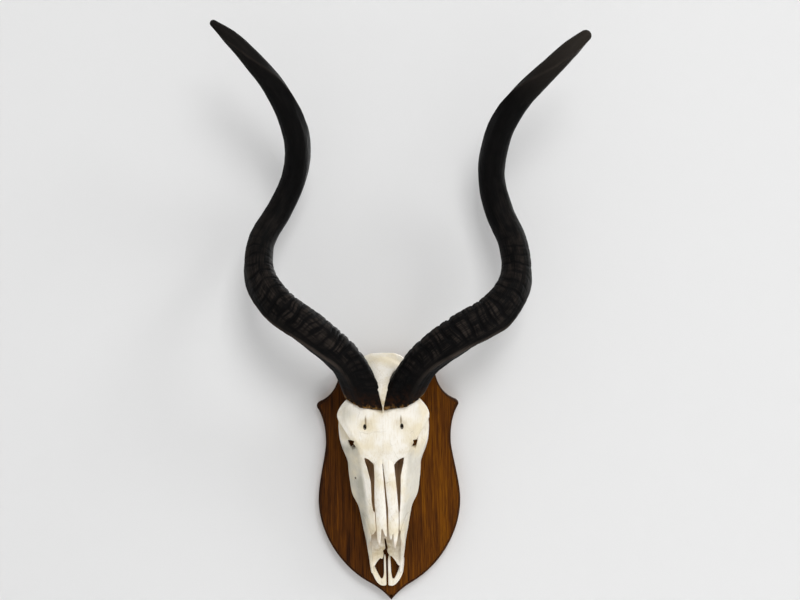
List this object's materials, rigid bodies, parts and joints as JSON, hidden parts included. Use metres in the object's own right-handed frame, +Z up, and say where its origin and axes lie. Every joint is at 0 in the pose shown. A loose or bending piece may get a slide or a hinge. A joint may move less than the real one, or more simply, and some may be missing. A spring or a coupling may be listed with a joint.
{
  "type": "kudu horn mount",
  "caption": "Greater kudu skull with its pair of long dark spiral horns, fixed face-out on a pointed wooden shield that hangs flat on a wall.",
  "frame": {"origin": "middle of the shield's flat back face, where it meets the wall", "axes": "+Y out of the shield's back into the wall, so the face looks along -Y; +Z up along the skull toward the horn tips; +X to the viewer's right"},
  "size_m": [0.6395, 0.2209, 1.0081],
  "materials": {
    "shield_wood": "brown stained solid board with a satin varnish and a darker routed edge",
    "skull_bone": "dry bleached bone, matt, cream white with faint yellow patches",
    "tooth_enamel": "worn ivory enamel, slightly glossy",
    "horn_keratin": "nearly black ridged horn with a soft sheen, browner at the foot and the tip",
    "hanger_steel": "zinc plated sheet steel",
    "screw_steel": "bright zinc plated wood screw"
  },
  "bodies": {
    "root": {"shield": "shield_wood", "sawtooth_hanger": "hanger_steel", "hanger_nail_left": "hanger_steel", "hanger_nail_right": "hanger_steel", "skull_screw_upper": "screw_steel", "skull_screw_lower": "screw_steel", "skull": "skull_bone", "nasal_bone_left": "skull_bone", "front_jaw_bone_left": "skull_bone", "horn_left": "horn_keratin", "nasal_bone_right": "skull_bone", "front_jaw_bone_right": "skull_bone", "horn_right": "horn_keratin", "cheek_tooth_left_1": "tooth_enamel", "cheek_tooth_left_2": "tooth_enamel", "cheek_tooth_left_3": "tooth_enamel", "cheek_tooth_left_4": "tooth_enamel", "cheek_tooth_left_5": "tooth_enamel", "cheek_tooth_left_6": "tooth_enamel", "cheek_tooth_right_1": "tooth_enamel", "cheek_tooth_right_2": "tooth_enamel", "cheek_tooth_right_3": "tooth_enamel", "cheek_tooth_right_4": "tooth_enamel", "cheek_tooth_right_5": "tooth_enamel", "cheek_tooth_right_6": "tooth_enamel"}
  },
  "joints": []
}
